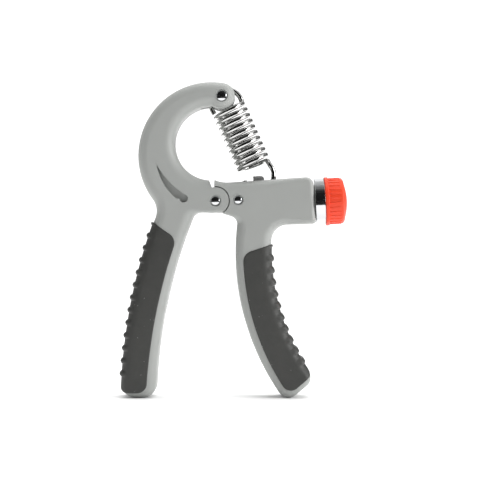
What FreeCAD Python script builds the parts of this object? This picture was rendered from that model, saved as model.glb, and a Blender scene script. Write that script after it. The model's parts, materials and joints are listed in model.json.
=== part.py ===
"""Adjustable hand grip strengthener: two handles on a pivot rivet, a coil spring, and a screw that
moves the spring's lower anchor.  Millimetres, +Z up, front face towards -Y, standing on both tips.

The outline is drawn about the pivot (x to the right, z up); every solid is moved at the end, so
that the origin is under the middle of the object."""
import FreeCAD, Part
import math
import os

V = FreeCAD.Vector
Y = V(0, 1, 0)

# ---- frame ----
PIVOT_X = -8.65                   # pivot's place over the origin
PIVOT_Z = 93.0                    # pivot's height over the tips
HALF = 11.0                       # half the thickness of the mouldings

# ---- arc handle: C-shaped arc, neck and blade ----
ARC_C, ARC_R = (-1.7, 21.4), 34.8           # outer edge of the arc
EYE_C, EYE_R = (-1.8, 27.2), 17.5           # round opening inside it
SPRING_PIN = (2.9, 49.5)                    # rivet that holds the spring's top loop
LEFT_OUT_C, LEFT_OUT_R = (215.6, -98.4), 260.2
LEFT_IN_C, LEFT_IN_R = (210.1, -97.2), 238.2
TIP_Z = -93.0
HUB_Z = -5.4                                # underside of the hub
FORK_BACK = -7.0                            # where the fork slot ends
FORK_HALF = 1.9                             # half its width, round the spring wire
KNUCKLE_R = 6.4
CHEEK_IN = 5.3                              # inner faces of the two knuckle cheeks
CRESCENT_C, CRESCENT_R = (6.3, 35.5), 38.6  # inner edge of the crescent pocket
CRESCENT_OUT_R = 26.3                       # its outer edge, about ARC_C
CRESCENT_END, CRESCENT_END_R = (-14.9, 1.1), 1.95
CRESCENT_DEPTH = 2.0

# ---- housing handle: adjuster block and blade ----
RECESS_R = 6.85                             # round the knuckle
RIGHT_OUT_C, RIGHT_OUT_R = (125.0, -23.9), 98.7
RIGHT_IN_C, RIGHT_IN_R = (126.6, -24.4), 117.1
HORN = (-0.45, 9.75)
HORN_DIP = (2.3, 8.95)
TOP_LEFT = (6.0, 8.65)
TOP_RIGHT = (46.05, 11.35)
END_BOTTOM = (47.25, -10.75)
BLOCK_BOTTOM = (20.0, -11.7)
UNDER_LEFT, UNDER_RIGHT = (2.4, -5.6), (10.6, -8.1)
RIGHT_TIP, RIGHT_TIP_SLOPE = (41.1, -89.21), 40.0

# ---- pivot and rivets ----
TONGUE_R, TONGUE_HALF = 5.35, 4.5
STOP_R, STOP_POCKET_R = 7.4, 7.7
STOP_FROM, STOP_TO = 138.0, 153.0           # stop key on the tongue, degrees round the pivot
STOP_PLAY, SQUEEZE = 0.8, 31.5
SHANK_R, BUSH_IN_R, BUSH_OUT_R = 2.1, 2.15, 3.2
SPRING_SHANK_R = 1.6
ANCHOR = (10.7, 0.4)
PIVOT_HEAD_R, ANCHOR_HEAD_R, SPRING_HEAD_R = 2.45, 2.25, 2.7
HEAD_H, HEAD_SEAT = 0.85, 10.1              # dome height, and the seat's distance from the middle
SEAT_PLAY = 0.1                             # the seat is this much wider than its head
DISH = 0.3                                  # and this much wider again at its rim
TAIL_SHARE, TAIL_IN = 0.6, 1.6              # thinner end of a rivet in its cap: share of the shank, length
WASHER_R, WASHER_FROM, WASHER_TO = 5.2, 4.56, 5.24

# ---- adjuster, along its own axis x' tilted up to the right ----
TILT = 3.0
AXIS_Z = -2.87                              # height of the axis over the pivot's x
CAVITY = (7.6, 43.5, -6.4, 5.6)             # x' from, x' to, floor z', half width
CAVITY_STEP = (12.2, -3.6)                  # its floor starts at this x', and is this high before it
SHEET = 0.8                                 # thickness of the folded steel channel
CHANNEL_HOLE_R = 3.0
CHANNEL_TOP = 8.2
SLIDE_HALF = 4.4
SCREW_R, NUT_R = 2.45, 2.53
JOURNAL_R = 1.8
SCREW_AT = (13.6, 15.3, 42.0, 42.7, 57.6)   # journal, thread, ring groove, and thread again to its end
TAPPED_FROM, TAPPED_R = 51.5, 1.5           # bore for the cap screw
INNER_BUSH = (13.25, 15.0, -5.55, 5.0, 1.85)    # x' from, x' to, z' from, z' to, bore
OUTER_BUSH = (43.6, 51.5, 3.4, 2.5)         # x' from, x' to, outside, bore
RETAINING_RING = (42.02, 42.68, 4.2)
THRUST_WASHER = (51.62, 52.0, 7.6, 2.55)
HOOK_PIN_XZ = (21.94, 9.74)                 # in the adjuster's own axes
HOOK_PIN_R = 1.6
PIN_PLAY = 0.05
NUT_FROM, NUT_TO, NUT_TOP, NUT_FLOOR = 18.44, 25.44, 4.6, -5.3
LUG_FROM, LUG_TO, LUG_TOP, LUG_IN = 18.6, 23.7, 13.6, 1.75
LUG_CORNER, HOOK_GROOVE = 1.6, 3.7          # rounding of the lugs, and the floor of the groove between them
SPIGOT_END, SPIGOT_R = 51.6, 8.0
COLLAR = (47.25, 52.0, 11.2)
KNOB = (52.05, 53.85, 60.3, 11.5, 10.75)    # flange from, flange to, barrel to, flange r, barrel r
KNOB_RIBS, KNOB_RIB_R = 30, 0.5
KNOB_RIB_SHORT = 1.3                        # the ribs stop this much short of the barrel's end
KNOB_WALL, KNOB_BEVEL, KNOB_BEVEL_IN, KNOB_HUB_R = 2.2, 0.9, 1.5, 5.0
HUB_END = 57.0
CAP_TOP = 62.6
KNOB_WASHER = (57.62, 58.0, 4.4, 1.6)
CAP_SCREW = (58.01, 59.2, 2.9, 58.4, 1.25)  # head from, head to, head r, socket floor, socket r

# ---- spring ----
WIRE_R, COIL_R = 1.2, 7.3
TURNS, PITCH = 10, 2.96
COIL_FROM, COIL_SIDE = 6.75, 0.7            # first turn along the pull line, and its sideways shift
COIL_LEAD = 0.36                            # radians left out at each end for the turn-out of the wire
LOOP_AT, LOOP_FROM, LOOP_TO = (4.2, 0.7), -8.0, 192.0
HOOK_AT, HOOK_FROM, HOOK_TO = (41.15, 0.8), 22.0, -182.0

# ---- rubber grips ----
RUBBER = 2.5                                # thickness
PROUD = 0.4                                 # stands out of the plastic
SLEEVE_RIM = 4.8                            # rounding along its outer face
TOP_CORNER = 5.2                            # rounding of its upper corner on the flat sides
RIB_R, RIB_OUT, RIB_HALF = 1.2, 0.8, 6.2
LEFT_EDGE_C, LEFT_EDGE_R = (230.5, -104.6), 263.4
RIGHT_EDGE_C, RIGHT_EDGE_R = (128.9, -24.3), 115.8
LEFT_RIBS = (12, -16.2, -81.5)              # count, first z, last z
RIGHT_RIBS = (10, -27.5, -75.8)


# ======== drawing helpers ========
def at(p, y=0.0):
    return V(p[0], y, p[1])


def on_circle(centre, radius, degrees):
    a = math.radians(degrees)
    return (centre[0] + radius * math.cos(a), centre[1] + radius * math.sin(a))


def circles_meet(c1, r1, c2, r2, near):
    """The crossing of two circles that lies nearer to a point."""
    dx, dz = c2[0] - c1[0], c2[1] - c1[1]
    d = math.hypot(dx, dz)
    along = (r1 * r1 - r2 * r2 + d * d) / (2 * d)
    across = math.sqrt(r1 * r1 - along * along)
    found = []
    for s in (1, -1):
        found.append((c1[0] + (along * dx - s * across * dz) / d, c1[1] + (along * dz + s * across * dx) / d))
    return min(found, key=lambda p: math.dist(p, near))


def line_meets(p, q, centre, radius, near):
    """The crossing of the line p-q with a circle that lies nearer to a point."""
    length = math.dist(p, q)
    ux, uz = (q[0] - p[0]) / length, (q[1] - p[1]) / length
    along = (centre[0] - p[0]) * ux + (centre[1] - p[1]) * uz
    off2 = math.dist(p, centre) ** 2 - along * along
    half = math.sqrt(radius * radius - off2)
    found = [(p[0] + (along + s * half) * ux, p[1] + (along + s * half) * uz) for s in (1, -1)]
    return min(found, key=lambda c: math.dist(c, near))


def line(p, q):
    return Part.LineSegment(at(p), at(q)).toShape()


def arc(p, q, centre, side):
    """Arc from p to q about a centre; side +1 runs anticlockwise in the front view, -1 clockwise."""
    radius = math.dist(p, centre)
    a = math.atan2(p[1] - centre[1], p[0] - centre[0])
    b = math.atan2(q[1] - centre[1], q[0] - centre[0])
    sweep = (b - a) * side % (2 * math.pi) * side
    middle = on_circle(centre, radius, math.degrees(a + sweep / 2))
    return Part.Arc(at(p), at(middle), at(q)).toShape()


def slab(edges, half, low=None):
    """The closed outline extruded through the thickness, from low (or -half) to half."""
    face = Part.Face(Part.Wire(edges))
    start = -half if low is None else low
    face.translate(V(0, start, 0))
    return face.extrude(V(0, half - start, 0))


def polygon(points):
    return [line(a, b) for a, b in zip(points, points[1:] + points[:1])]


def disc(centre, radius, half, low=None):
    start = -half if low is None else low
    return Part.makeCylinder(radius, half - start, at(centre, start), Y)


def round_corners(solid, corners):
    """Rounds the through-thickness edge nearest to each point."""
    for point, radius in corners:
        best = None
        for edge in solid.Edges:
            a, b = edge.Vertexes[0].Point, edge.Vertexes[-1].Point
            if abs(a.x - b.x) + abs(a.z - b.z) < 1e-6 and abs(a.y - b.y) > 1:
                gap = math.dist((a.x, a.z), point)
                if best is None or gap < best[0]:
                    best = (gap, edge)
        solid = solid.makeFillet(radius, [best[1]])
    return solid


def round_rims(solid, half, radius_at):
    """Rounds the rims of the front and back faces.  radius_at(point) gives the radius at an edge's
    ends, and 0 at its middle leaves that edge sharp."""
    picked = []
    for number, edge in enumerate(solid.Edges, 1):
        ends = [v.Point for v in edge.Vertexes]
        if min(abs(abs(p.y) - half) for p in ends) > 1e-6 or len(ends) < 2:
            continue
        middle = edge.valueAt((edge.FirstParameter + edge.LastParameter) / 2)
        if abs(abs(middle.y) - half) < 1e-6 and radius_at((middle.x, middle.z)) > 0:
            first = edge.valueAt(edge.FirstParameter)
            last = edge.valueAt(edge.LastParameter)
            picked.append((number, radius_at((first.x, first.z)), radius_at((last.x, last.z))))
    document = FreeCAD.newDocument("rims")
    base = document.addObject("Part::Feature", "base")
    base.Shape = solid
    fillet = document.addObject("Part::Fillet", "fillet")
    fillet.Base = base
    fillet.Edges = picked
    document.recompute()
    rounded = fillet.Shape.copy()
    FreeCAD.closeDocument(document.Name)
    if rounded.isNull() or not rounded.isValid():
        raise ValueError("the rims could not be rounded")
    return rounded.Solids[0]


def adj(x, z, y=0.0):
    """A point given in the adjuster's own axes."""
    a = math.radians(TILT)
    return V(x * math.cos(a) - z * math.sin(a), y, AXIS_Z + x * math.sin(a) + z * math.cos(a))


def adj_solid(shape):
    """Tilts a solid drawn with the adjuster axis along x through the origin."""
    moved = shape.copy()
    moved.rotate(V(0, 0, 0), V(0, -1, 0), TILT)
    moved.translate(V(0, 0, AXIS_Z))
    return moved


def rod(x0, x1, radius, inner=0.0):
    """A rod or tube along the adjuster axis, still untilted."""
    body = Part.makeCylinder(radius, x1 - x0, V(x0, 0, 0), V(1, 0, 0))
    if inner:
        body = body.cut(Part.makeCylinder(inner, x1 - x0, V(x0, 0, 0), V(1, 0, 0)))
    return body


def block(x0, x1, half, z0, z1):
    return Part.makeBox(x1 - x0, 2 * half, z1 - z0, V(x0, -half, z0))


def cavity_block(top):
    """The cavity's own form up to a given height, with the step that keeps it clear of the crotch."""
    x0, x1, floor, half = CAVITY
    step_x, step_z = CAVITY_STEP
    return block(x0, x1, half, floor, top).cut(block(x0 - 1, step_x, half + 1, floor - 1, step_z))


# ======== mouldings ========
def arc_outline():
    """Outline of the arc handle and the corners to be rounded."""
    lobe_r = ARC_R - math.dist(ARC_C, SPRING_PIN)
    lobe_angle = math.atan2(SPRING_PIN[1] - ARC_C[1], SPRING_PIN[0] - ARC_C[0])
    lobe_top = on_circle(ARC_C, ARC_R, math.degrees(lobe_angle))
    neck = circles_meet(ARC_C, ARC_R, LEFT_OUT_C, LEFT_OUT_R, (-26, -3))
    tip_out = line_meets((0, TIP_Z), (1, TIP_Z), LEFT_OUT_C, LEFT_OUT_R, (-45, TIP_Z))
    tip_in = line_meets((0, TIP_Z), (1, TIP_Z), LEFT_IN_C, LEFT_IN_R, (-28, TIP_Z))
    crotch = line_meets((0, HUB_Z), (1, HUB_Z), LEFT_IN_C, LEFT_IN_R, (-10, HUB_Z))
    under = line_meets((0, HUB_Z), (1, HUB_Z), (0, 0), KNUCKLE_R, (4, HUB_Z))
    notch = on_circle((0, 0), KNUCKLE_R, 106)
    notch_top = line_meets((-3.1, 0), (-3.1, 1), EYE_C, EYE_R, (-3.1, 9.7))
    lobe_in = circles_meet(EYE_C, EYE_R, SPRING_PIN, lobe_r, (-1, 44.5))
    edges = [arc(lobe_top, neck, ARC_C, 1), arc(neck, tip_out, LEFT_OUT_C, 1), line(tip_out, tip_in),
             arc(tip_in, crotch, LEFT_IN_C, -1), line(crotch, under), arc(under, notch, (0, 0), 1),
             line(notch, notch_top), arc(notch_top, lobe_in, EYE_C, -1), arc(lobe_in, lobe_top, SPRING_PIN, 1)]
    corners = [(neck, 9.0), (tip_out, 6.3), (tip_in, 6.3), (crotch, 4.5), (lobe_in, 2.0)]
    return edges, corners


def arc_rim(point):
    """Rim radius of the arc handle: small along the hub, none on the knuckle and its notch."""
    x, z = point
    if math.hypot(x, z) < KNUCKLE_R + 0.01 and x > -2:
        return 1.2 if z < HUB_Z + 0.1 else 0.0
    if -3.05 < x < -1.5 and 6 < z < 9.6:
        return 0.0
    if x > -8 and z < HUB_Z + 0.1 and z > HUB_Z - 0.8:
        return 1.2
    return 4.8


def crescent(low, high):
    whole = disc(ARC_C, CRESCENT_OUT_R, high, low).cut(disc(CRESCENT_C, CRESCENT_R, high, low))
    keep = Part.makeBox(40, high - low, 60, V(CRESCENT_END[0] - 40, low, CRESCENT_END[1]))
    return whole.common(keep).fuse(disc(CRESCENT_END, CRESCENT_END_R, high, low)).removeSplitter()


def rivet_seats(centre, head_r):
    """Dished seats in the front and back faces for a rivet's domed heads."""
    wide, depth = head_r + SEAT_PLAY, HALF - HEAD_SEAT
    return [Part.makeCone(wide, wide + DISH, depth, at(centre, side * HEAD_SEAT), V(0, side, 0))
            for side in (-1, 1)]


def sector(radius, start, stop, half):
    """A pie slice round the pivot."""
    a, b = on_circle((0, 0), radius, start), on_circle((0, 0), radius, stop)
    return slab([line((0, 0), a), arc(a, b, (0, 0), 1), line(b, (0, 0))], half)


def left_zone():
    """The part of the blade that the left grip covers, drawn out to its own outer face."""
    out_r = LEFT_OUT_R + PROUD
    top_out = line_meets((0, -10.1), (1, -10.1), LEFT_OUT_C, out_r, (-30, -10.1))
    top_in = line_meets(top_out, (-19.0, -17.4), LEFT_EDGE_C, LEFT_EDGE_R, (-18, -17))
    low = TIP_Z + 2.4
    low_in = line_meets((0, low), (1, low), LEFT_EDGE_C, LEFT_EDGE_R, (-33, low))
    low_out = line_meets((0, low), (1, low), LEFT_OUT_C, out_r, (-45, low))
    edges = [arc(top_out, low_out, LEFT_OUT_C, 1), line(low_out, low_in),
             arc(low_in, top_in, LEFT_EDGE_C, -1), line(top_in, top_out)]
    return edges, [(top_in, TOP_CORNER), (low_in, 4.5), (low_out, 3.0)]


def right_zone():
    """The part of the blade that the right grip covers, drawn out to its own outer face."""
    out_r = RIGHT_OUT_R - PROUD
    top_out = line_meets((13.0, -25.0), (27.5, -20.3), RIGHT_OUT_C, out_r, (26.8, -20.3))
    top_in = line_meets((13.0, -25.0), (27.5, -20.3), RIGHT_EDGE_C, RIGHT_EDGE_R, (13.0, -25))
    slope = math.radians(RIGHT_TIP_SLOPE)
    start = (RIGHT_TIP[0] - 2.4 * math.sin(slope), RIGHT_TIP[1] + 2.4 * math.cos(slope))
    end = (start[0] + math.cos(slope), start[1] + math.sin(slope))
    low_in = line_meets(start, end, RIGHT_EDGE_C, RIGHT_EDGE_R, (33, -92))
    low_out = line_meets(start, end, RIGHT_OUT_C, out_r, (44, -84))
    edges = [arc(top_in, low_in, RIGHT_EDGE_C, 1), line(low_in, low_out),
             arc(low_out, top_out, RIGHT_OUT_C, -1), line(top_out, top_in)]
    return edges, [(top_in, TOP_CORNER), (low_in, 4.5), (low_out, 3.0)]


def turned(centre, points_arcs):
    """Solid of revolution about a through-thickness axis; the profile's edges are (radius, y)."""
    face = Part.Face(Part.Wire(points_arcs))
    face.translate(at(centre))
    return face.revolve(at(centre), Y, 360)


def sleeve(outer, side):
    """Endless C-shaped sleeve about the outer face's centre, with softened rims.  side is +1 where the
    blade lies inside its outer face's circle and -1 where it lies outside."""
    centre, face_r = outer
    half = HALF + PROUD
    soft = face_r - side * SLEEVE_RIM
    back = face_r - side * 26
    cut = SLEEVE_RIM * (1 - math.sqrt(0.5))
    inner_half, inner_r = half - RUBBER, face_r - side * RUBBER
    spots = [(back, -half), (soft, -half), (face_r, -half + SLEEVE_RIM), (face_r, half - SLEEVE_RIM),
             (soft, half), (back, half), (back, inner_half), (inner_r, inner_half), (inner_r, -inner_half),
             (back, -inner_half)]
    points = [V(r, y, 0) for r, y in spots]
    soft_rims = {1: -1, 3: 1}
    straight = [k for k in range(len(points)) if k not in soft_rims]
    edges = [Part.LineSegment(points[k], points[(k + 1) % len(points)]).toShape() for k in straight]
    for k, sign in soft_rims.items():
        middle = V(face_r - side * cut, sign * (half - cut), 0)
        edges.append(Part.Arc(points[k], middle, points[k + 1]).toShape())
    return turned(centre, Part.__sortEdges__(edges))


def grip_solid(zone, outer, side, ribs):
    """Rubber sleeve of one grip with its ribs; ribs is (count, first z, last z)."""
    edges, corners = zone
    body = round_corners(slab(edges, HALF + 5), corners).common(sleeve(outer, side))
    centre, radius = outer
    count, first, last = ribs
    for i in range(count):
        z = first + (last - first) * i / (count - 1)
        angle = math.asin((z - centre[1]) / radius)
        reach = radius + side * (RIB_OUT - RIB_R)
        spot = (centre[0] - reach * math.cos(angle), centre[1] + reach * math.sin(angle))
        bar = disc(spot, RIB_R, RIB_HALF + RIB_R)
        ends = [e for e in bar.Edges if abs(e.Length - 2 * math.pi * RIB_R) < 0.01]
        body = body.fuse(bar.makeFillet(0.9, ends))
    return body


def left_core():
    """Everything nearer the inner edge than the left rubber's inside face."""
    inside = LEFT_OUT_R + PROUD - RUBBER
    body = disc(LEFT_OUT_C, inside, HALF + PROUD - RUBBER)
    return body.common(Part.makeBox(60, 40, 120, V(-50, -20, -110)))


def right_core():
    """Everything nearer the inner edge than the right rubber's inside face."""
    inside = RIGHT_OUT_R - PROUD + RUBBER
    body = disc(RIGHT_OUT_C, 130, HALF + PROUD - RUBBER).cut(disc(RIGHT_OUT_C, inside, HALF + PROUD))
    return body.common(Part.makeBox(60, 40, 90, V(0, -20, -100)))


def arc_handle():
    edges, corners = arc_outline()
    body = round_corners(slab(edges, HALF), corners)
    body = round_rims(body, HALF, arc_rim)
    lobe = block(FORK_BACK, 20, FORK_HALF, 38, 60)
    slot = disc((0, 0), KNUCKLE_R, CHEEK_IN)
    pocket = sector(STOP_POCKET_R, STOP_FROM - SQUEEZE - 1.0, STOP_TO + STOP_PLAY, CHEEK_IN)
    cuts = [lobe, slot, pocket, disc((0, 0), SHANK_R, HALF), disc(SPRING_PIN, SPRING_SHANK_R, HALF)]
    cuts += rivet_seats((0, 0), PIVOT_HEAD_R) + rivet_seats(SPRING_PIN, SPRING_HEAD_R)
    cuts += [crescent(HALF - CRESCENT_DEPTH, HALF + 1), crescent(-HALF - 1, -HALF + CRESCENT_DEPTH)]
    for cut in cuts:
        body = body.cut(cut)
    zone = round_corners(slab(left_zone()[0], HALF + 5), left_zone()[1])
    return body.cut(zone.cut(left_core()))


def housing_outline():
    """Outline of the housing handle and the corners to be rounded."""
    slope = math.radians(RIGHT_TIP_SLOPE)
    tip_dir = (RIGHT_TIP[0] + math.cos(slope), RIGHT_TIP[1] + math.sin(slope))
    armpit = line_meets(BLOCK_BOTTOM, END_BOTTOM, RIGHT_OUT_C, RIGHT_OUT_R, (27, -11))
    tip_out = line_meets(RIGHT_TIP, tip_dir, RIGHT_OUT_C, RIGHT_OUT_R, (44, -85))
    tip_in = line_meets(RIGHT_TIP, tip_dir, RIGHT_IN_C, RIGHT_IN_R, (33, -95))
    crotch = line_meets(UNDER_LEFT, UNDER_RIGHT, RIGHT_IN_C, RIGHT_IN_R, (10.5, -8))
    under = line_meets(UNDER_LEFT, UNDER_RIGHT, (0, 0), RECESS_R, (3, -6))
    notch = on_circle((0, 0), RECESS_R, 95)
    horn = Part.Arc(at(HORN), at(HORN_DIP), at(TOP_LEFT)).toShape()
    edges = [horn, line(TOP_LEFT, TOP_RIGHT), line(TOP_RIGHT, END_BOTTOM), line(END_BOTTOM, armpit),
             arc(armpit, tip_out, RIGHT_OUT_C, 1), line(tip_out, tip_in), arc(tip_in, crotch, RIGHT_IN_C, -1),
             line(crotch, under), arc(under, notch, (0, 0), 1), line(notch, HORN)]
    corners = [(TOP_RIGHT, 3.6), (END_BOTTOM, 1.2), (armpit, 7.8), (tip_out, 5.2), (tip_in, 5.6), (crotch, 4.0)]
    return edges, corners


def housing_rim(point):
    """Rim radius of the housing handle: small by the knuckle, larger on the block and the blade."""
    x, z = point
    from_pivot = math.hypot(x, z)
    if from_pivot < RECESS_R - 0.01 or (from_pivot < RECESS_R + 0.01 and (x > 4 or z > 0)):
        return 0.0
    if -0.57 < x < -0.46 and z < 9.7:
        return 0.0
    if x < 9.5 and -8.2 < z < 0:
        return 1.2
    if x < 0:
        return 1.0
    if x > 40 and z > -12.5:
        return 2.0
    return 3.2 if z > -12.5 and x > 2 and not (x < 12 and z < 0) else 4.5


def housing_handle():
    edges, corners = housing_outline()
    body = round_corners(slab(edges, HALF), corners)
    body = round_rims(body, HALF, housing_rim)
    x0, x1, floor, half = CAVITY
    spigot = adj_solid(rod(x1 - 0.5, SPIGOT_END, SPIGOT_R))
    body = body.fuse(spigot)
    body = body.cut(adj_solid(cavity_block(20)))
    tongue = disc((0, 0), TONGUE_R, TONGUE_HALF)
    neck = slab(polygon([(0, -5.2), (7.5, -5.6), (8.2, 5.6), (0, 6.0)]), TONGUE_HALF)
    key = sector(STOP_R, STOP_FROM, STOP_TO, TONGUE_HALF)
    body = body.multiFuse([tongue, neck, key])
    cuts = [disc((0, 0), BUSH_OUT_R, HALF), disc(ANCHOR, SHANK_R, HALF),
            adj_solid(rod(x1 - 3, SPIGOT_END, OUTER_BUSH[2]))]
    cuts += rivet_seats(ANCHOR, ANCHOR_HEAD_R)
    zone = round_corners(slab(right_zone()[0], HALF + 5), right_zone()[1])
    cuts.append(zone.cut(right_core()))
    for cut in cuts:
        body = body.cut(cut)
    return max(body.Solids, key=lambda s: s.Volume)


def arc_handle_grip():
    outer = (LEFT_OUT_C, LEFT_OUT_R + PROUD)
    return grip_solid(left_zone(), outer, 1, LEFT_RIBS)


def housing_handle_grip():
    outer = (RIGHT_OUT_C, RIGHT_OUT_R - PROUD)
    return grip_solid(right_zone(), outer, -1, RIGHT_RIBS)


# ======== rivets, washers and bush ========
def dome(radius, height, centre, side):
    """A shallow spherical cap standing on its seat."""
    ball_r = (radius * radius + height * height) / (2 * height)
    ball = Part.makeSphere(ball_r, at(centre, side * (HEAD_SEAT + height - ball_r)))
    keep = Part.makeCylinder(radius, height + 0.1, at(centre, side * HEAD_SEAT), V(0, side, 0))
    return ball.common(keep)


def rivet(centre, head_r, shank_r):
    """Front head and shank; the shank ends in a shorter, thinner tail for the cap."""
    shank = disc(centre, shank_r, HEAD_SEAT - TAIL_IN, -HEAD_SEAT)
    tail = disc(centre, shank_r * TAIL_SHARE, HEAD_SEAT)
    return dome(head_r, HEAD_H, centre, -1).multiFuse([shank, tail]).removeSplitter()


def rivet_cap(centre, head_r, shank_r):
    """Back head, with a sleeve that closes over the rivet's tail."""
    collar = disc(centre, shank_r, HEAD_SEAT, HEAD_SEAT - TAIL_IN)
    collar = collar.cut(disc(centre, shank_r * TAIL_SHARE, HEAD_SEAT))
    return dome(head_r, HEAD_H, centre, 1).fuse(collar).removeSplitter()


def ring(centre, outer, inner, y0, y1):
    return disc(centre, outer, y1, y0).cut(disc(centre, inner, y1, y0))


def pivot_washers():
    front = ring((0, 0), WASHER_R, BUSH_IN_R, -WASHER_TO, -WASHER_FROM)
    return Part.Compound([ring((0, 0), WASHER_R, BUSH_IN_R, WASHER_FROM, WASHER_TO), front])


# ======== adjuster ========
def adjuster_channel():
    """Folded steel channel that lines the cavity and carries the nut."""
    x0, x1, floor, half = CAVITY
    outer = cavity_block(CHANNEL_TOP)
    inner = block(x0 - 1, x1 - SHEET, half - SHEET, floor + SHEET, 20)
    body = adj_solid(outer.cut(inner).cut(rod(x1 - 2, x1 + 1, CHANNEL_HOLE_R)))
    return body.cut(disc(ANCHOR, SHANK_R, HALF))


def adjuster_screw():
    spans = zip(SCREW_AT, SCREW_AT[1:], (JOURNAL_R, SCREW_R, JOURNAL_R, SCREW_R))
    parts = [rod(start, end, radius) for start, end, radius in spans]
    body = parts[0].multiFuse(parts[1:]).removeSplitter()
    return adj_solid(body.cut(rod(TAPPED_FROM, SCREW_AT[-1], TAPPED_R)))


def screw_inner_bush():
    """Nylon block that fills the channel's blind end and carries the screw's journal."""
    x0, x1, z0, z1, bore = INNER_BUSH
    body = block(x0, x1, CAVITY[3] - SHEET - PIN_PLAY, z0, z1)
    return adj_solid(body.cut(rod(x0 - 1, x1 + 1, bore)))


def carriage_nut():
    """Nut block with two lugs for the hook pin and a groove that clears the spring's hook."""
    body = block(NUT_FROM, NUT_TO, SLIDE_HALF, NUT_FLOOR, NUT_TOP)
    lugs = block(LUG_FROM, LUG_TO, SLIDE_HALF, NUT_TOP - 1, LUG_TOP)
    corner = min(lugs.Edges, key=lambda e: (e.CenterOfMass - V(LUG_TO, 0, LUG_TOP)).Length)
    lugs = lugs.makeFillet(LUG_CORNER, [corner])
    body = body.fuse(lugs).cut(block(NUT_FROM - 1, NUT_TO + 1, LUG_IN, HOOK_GROOVE, LUG_TOP + 1))
    body = body.cut(rod(NUT_FROM, NUT_TO, NUT_R))
    x, z = HOOK_PIN_XZ
    return adj_solid(body.cut(disc((x, z), HOOK_PIN_R + PIN_PLAY, HALF)))


def hook_pin():
    x, z = HOOK_PIN_XZ
    return adj_solid(disc((x, z), HOOK_PIN_R, SLIDE_HALF - PIN_PLAY))


def collar_ring():
    """Chromed collar on the housing's spigot, with softened rims."""
    x0, x1, radius = COLLAR
    body = rod(x0, x1, radius, SPIGOT_R)
    rims = [e for e in body.Edges if abs(e.Length - 2 * math.pi * radius) < 0.01]
    return body.makeFillet(0.35, rims)


def knob_body():
    """Flange, ribbed barrel with a bevelled end, and a hub that grips the screw."""
    x0, x1, x2, flange_r, barrel_r = KNOB
    shell = rod(x0, x1, flange_r)
    rim = [e for e in shell.Edges if abs(e.Length - 2 * math.pi * flange_r) < 0.01]
    shell = shell.makeFillet(0.5, rim)
    barrel = rod(x1, x2, barrel_r)
    bevel = Part.makeCone(barrel_r, barrel_r - KNOB_BEVEL_IN, KNOB_BEVEL, V(x2, 0, 0), V(1, 0, 0))
    ribs = []
    for i in range(KNOB_RIBS):
        a = 2 * math.pi * i / KNOB_RIBS
        start = V(x1 + 0.3, barrel_r * math.cos(a), barrel_r * math.sin(a))
        ribs.append(Part.makeCylinder(KNOB_RIB_R, x2 - x1 - KNOB_RIB_SHORT, start, V(1, 0, 0)))
    body = shell.multiFuse([barrel, bevel] + ribs)
    hollow = rod(x1 + 0.2, x2 + 2, barrel_r - KNOB_WALL).cut(rod(x1, HUB_END, KNOB_HUB_R))
    return adj_solid(body.cut(hollow).cut(rod(x0 - 1, HUB_END + 1, SCREW_R)))


def knob_end_cap():
    """Domed cap pressed into the barrel's mouth."""
    x2, barrel_r = KNOB[2], KNOB[4]
    mouth = barrel_r - KNOB_WALL
    rim = x2 + KNOB_BEVEL
    height = CAP_TOP - rim
    ball_r = (mouth * mouth + height * height) / (2 * height)
    ball = Part.makeSphere(ball_r, V(CAP_TOP - ball_r, 0, 0)).common(rod(rim, CAP_TOP + 1, mouth))
    return adj_solid(ball.fuse(rod(x2 - KNOB_BEVEL, rim, mouth)).removeSplitter())


def knob_screw():
    """Cap screw that clamps the knob to the adjusting screw, with a hexagon socket."""
    x0, x1, head_r, floor, socket_r = CAP_SCREW
    loop = [V(floor, *on_circle((0, 0), socket_r, 60 * k)) for k in range(6)]
    socket = Part.Face(Part.makePolygon(loop + loop[:1])).extrude(V(x1 - floor + 1, 0, 0))
    shank = rod(TAPPED_FROM + 0.5, x0 + 0.1, TAPPED_R)
    return adj_solid(rod(x0, x1, head_r).cut(socket).fuse(shank).removeSplitter())


# ======== spring ========
def pull_frame():
    """Unit vectors along the line from the spring rivet to the hook pin, and across it."""
    pin = adj(*HOOK_PIN_XZ)
    along = (pin - at(SPRING_PIN)).normalize()
    return along, along.cross(Y)


def on_pull(t, n, y=0.0):
    """Point at t along the pull line from the spring rivet, n across it."""
    along, across = pull_frame()
    return at(SPRING_PIN) + along * t + across * n + Y * y


def wire_arc(centre, start, stop):
    """Round wire bent on the spring's radius in the middle plane; degrees from the across direction,
    anticlockwise in the front view."""
    along, across = pull_frame()
    a = math.radians(start)
    out = across * math.cos(a) - along * math.sin(a)
    middle = on_pull(*centre)
    section = Part.Face(Part.Wire(Part.makeCircle(WIRE_R, middle + out * COIL_R, out.cross(Y))))
    side = 1 if stop > start else -1
    return section.revolve(middle, Y * -side, abs(stop - start))


def wire_link(p, q):
    """Short straight wire with ball ends that joins two bends."""
    rod_between = Part.makeCylinder(WIRE_R, (q - p).Length, p, q - p)
    return rod_between.multiFuse([Part.makeSphere(WIRE_R, p), Part.makeSphere(WIRE_R, q)])


def coil_end(which):
    """Centre and heading of the wire at one end of the coils: which is 0 at the top, 1 at the bottom."""
    along, across = pull_frame()
    turn = COIL_LEAD + which * (2 * math.pi * TURNS - 2 * COIL_LEAD)
    t = COIL_FROM + PITCH * turn / (2 * math.pi)
    spot = on_pull(t, COIL_SIDE + COIL_R * math.cos(turn), -COIL_R * math.sin(turn))
    heading = across * -math.sin(turn) - Y * math.cos(turn)
    return spot, heading * (1 if which else -1)


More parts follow.
